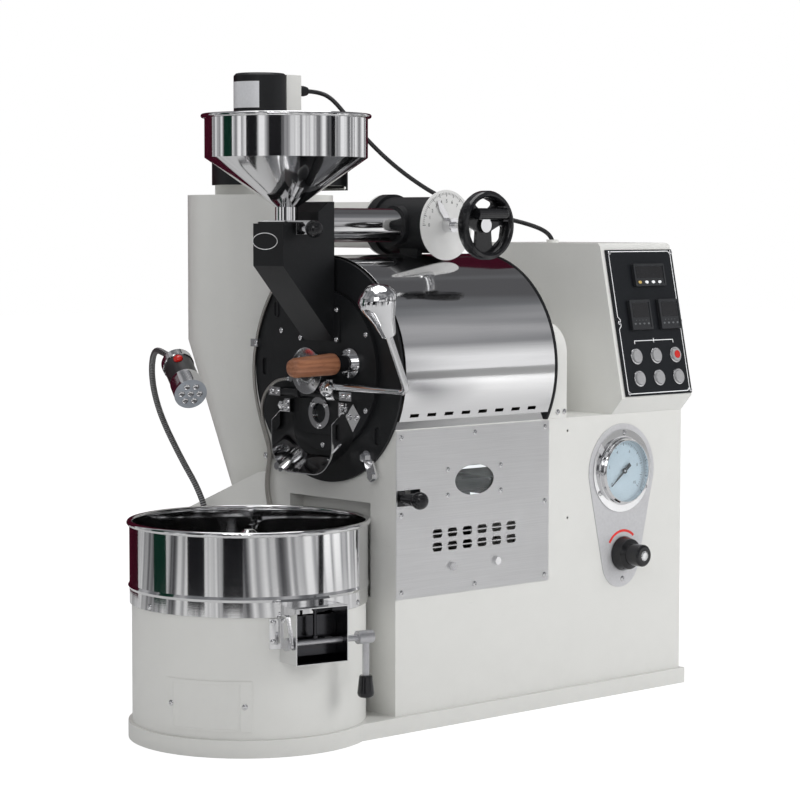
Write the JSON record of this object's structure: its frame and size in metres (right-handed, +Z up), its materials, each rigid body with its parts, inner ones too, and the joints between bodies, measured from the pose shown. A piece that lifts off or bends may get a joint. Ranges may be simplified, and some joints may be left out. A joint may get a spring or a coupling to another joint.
{
  "type": "coffee bean roaster",
  "caption": "Gas-fired drum coffee roaster with bean hopper, sampling spoon, discharge door, round cooling tray with stirrer, chaff cyclone and control box.",
  "frame": {"origin": "on the floor below the axis of the cooling tray, at the underside of the plinth", "axes": "+X from the cooling tray along the machine to the control box, +Y away from the side with the gauge, +Z up"},
  "size_m": [0.98, 0.703, 0.987],
  "materials": {
    "white_paint": "satin powder coat",
    "black_paint": "semi-gloss enamel",
    "panel_steel": "fine brushed",
    "polished_steel": "mirror polished",
    "chrome": "bright plated",
    "drum_steel": "heat dulled",
    "dark_cast": "painted casting",
    "motor_grey": "cast housing",
    "motor_black": "gloss enamel",
    "aluminium": "satin",
    "wood": "oiled hardwood",
    "black_plastic": "moulded",
    "panel_black": "printed film",
    "button_grey": "moulded",
    "button_red": "moulded",
    "dial_white": "printed plate",
    "needle_black": "matt",
    "glass": "clear",
    "cable_black": "sheathed cable",
    "braid": "wire braid",
    "lamp_red": "moulded"
  },
  "bodies": {
    "frame": {"base_plinth": "white_paint", "cabinet_shell": "white_paint", "rear_cover": "white_paint", "access_panel": "panel_steel", "drum_cover": "polished_steel", "rear_housing": "white_paint", "gearmotors": "motor_grey", "front_plate": "black_paint", "bearing_housing": "chrome", "front_fittings": "chrome", "discharge_scoop": "polished_steel", "feed_chute": "black_paint", "hopper": "polished_steel", "exhaust_pipe": "polished_steel", "damper_body": "dark_cast", "dial_plate": "dial_white", "cyclone_body": "white_paint", "chaff_box": "white_paint", "blower_housing": "motor_black", "blower_motor": "motor_black", "tray_base": "white_paint", "tray_ring": "polished_steel", "tray_outlet": "polished_steel", "control_box": "white_paint", "control_panel": "panel_black", "display_units": "black_plastic", "button_bezels": "chrome", "gauge_plate": "aluminium", "gauge_case": "chrome", "glass_panes": "glass", "gas_burner": "dark_cast", "work_lamp": "chrome", "motor_cable": "cable_black", "probe_cable": "braid", "rim_cable": "braid", "fasteners": "chrome"},
    "drum": {"roasting_drum": "drum_steel"},
    "tryer": {"tryer": "chrome", "tryer_handle": "wood"},
    "door": {"discharge_door": "black_paint", "sight_glass": "glass", "door_lever": "chrome"},
    "feed_gate": {"slide_gate": "chrome"},
    "damper": {"damper_flap": "chrome", "handwheel": "black_plastic"},
    "wheel_grip": {"wheel_grip": "black_plastic"},
    "air_lever": {"air_lever": "black_plastic"},
    "needle": {"gauge_needle": "needle_black"},
    "regulator": {"regulator_knob": "black_plastic"},
    "stirrer": {"stirrer": "chrome"},
    "tray_gate": {"tray_gate": "chrome"},
    "impeller": {"blower_impeller": "aluminium"},
    "chaff_drawer": {"chaff_drawer": "white_paint"},
    "lamp_button": {"lamp_button": "lamp_red"},
    "button_1": {"push_button_1": "button_grey"},
    "button_2": {"push_button_2": "button_grey"},
    "button_3": {"push_button_3": "button_red"},
    "button_4": {"push_button_4": "button_grey"},
    "button_5": {"push_button_5": "button_grey"},
    "button_6": {"push_button_6": "button_grey"}
  },
  "joints": [
    {"name": "drum_spin", "type": "hinge", "parent": "frame", "child": "drum", "pos_m": [0.3, 0, 0.529], "axis": [1, 0, 0], "continuous": true},
    {"name": "tryer_slide", "type": "slide", "parent": "frame", "child": "tryer", "axis": [-1, 0, 0], "range_m": [0, 0.12]},
    {"name": "door_swing", "type": "hinge", "parent": "frame", "child": "door", "pos_m": [0.122, 0, 0.4945], "axis": [0, 1, 0], "range_deg": [0, 50]},
    {"name": "feed_gate_slide", "type": "slide", "parent": "frame", "child": "feed_gate", "axis": [0, -1, 0], "range_m": [0, 0.038]},
    {"name": "damper_turn", "type": "hinge", "parent": "frame", "child": "damper", "pos_m": [0.3385, 0, 0.7445], "axis": [0, -1, 0], "range_deg": [-50, 50]},
    {"name": "wheel_grip_fold", "type": "hinge", "parent": "damper", "child": "wheel_grip", "pos_m": [0.3655, -0.156, 0.7615], "axis": [0, 0, 1], "range_deg": [0, 90]},
    {"name": "air_lever_slide", "type": "slide", "parent": "frame", "child": "air_lever", "axis": [1, 0, 0], "range_m": [0, 0.03]},
    {"name": "gauge_needle_turn", "type": "hinge", "parent": "frame", "child": "needle", "pos_m": [0.637, -0.155, 0.3565], "axis": [0, 1, 0], "range_deg": [0, 270]},
    {"name": "regulator_turn", "type": "hinge", "parent": "frame", "child": "regulator", "pos_m": [0.6405, -0.15, 0.2243], "axis": [0, -1, 0], "range_deg": [0, 270]},
    {"name": "stirrer_spin", "type": "hinge", "parent": "frame", "child": "stirrer", "pos_m": [0, 0, 0.25], "axis": [0, 0, 1], "continuous": true},
    {"name": "tray_gate_turn", "type": "hinge", "parent": "frame", "child": "tray_gate", "pos_m": [-0.03386, -0.19204, 0.1635], "axis": [-0.9848, 0.1736, 0], "range_deg": [0, 75]},
    {"name": "impeller_spin", "type": "hinge", "parent": "frame", "child": "impeller", "pos_m": [0.276, 0.312, 0.86], "axis": [0, 0, 1], "continuous": true},
    {"name": "chaff_drawer_slide", "type": "slide", "parent": "frame", "child": "chaff_drawer", "axis": [0, 1, 0], "range_m": [0, 0.2]},
    {"name": "lamp_button_press", "type": "slide", "parent": "frame", "child": "lamp_button", "axis": [0.4284, 0.2963, -0.8536], "range_m": [0, 0.002], "stiffness_N_per_m": 400, "springref_m": -0.002},
    {"name": "button_1_press", "type": "slide", "parent": "frame", "child": "button_1", "axis": [0, 0.979, -0.2041], "range_m": [0, 0.003], "stiffness_N_per_m": 500, "springref_m": -0.002},
    {"name": "button_2_press", "type": "slide", "parent": "frame", "child": "button_2", "axis": [0, 0.979, -0.2041], "range_m": [0, 0.003], "stiffness_N_per_m": 500, "springref_m": -0.002},
    {"name": "button_3_press", "type": "slide", "parent": "frame", "child": "button_3", "axis": [0, 0.979, -0.2041], "range_m": [0, 0.003], "stiffness_N_per_m": 500, "springref_m": -0.002},
    {"name": "button_4_press", "type": "slide", "parent": "frame", "child": "button_4", "axis": [0, 0.979, -0.2041], "range_m": [0, 0.003], "stiffness_N_per_m": 500, "springref_m": -0.002},
    {"name": "button_5_press", "type": "slide", "parent": "frame", "child": "button_5", "axis": [0, 0.979, -0.2041], "range_m": [0, 0.003], "stiffness_N_per_m": 500, "springref_m": -0.002},
    {"name": "button_6_press", "type": "slide", "parent": "frame", "child": "button_6", "axis": [0, 0.979, -0.2041], "range_m": [0, 0.003], "stiffness_N_per_m": 500, "springref_m": -0.002}
  ]
}
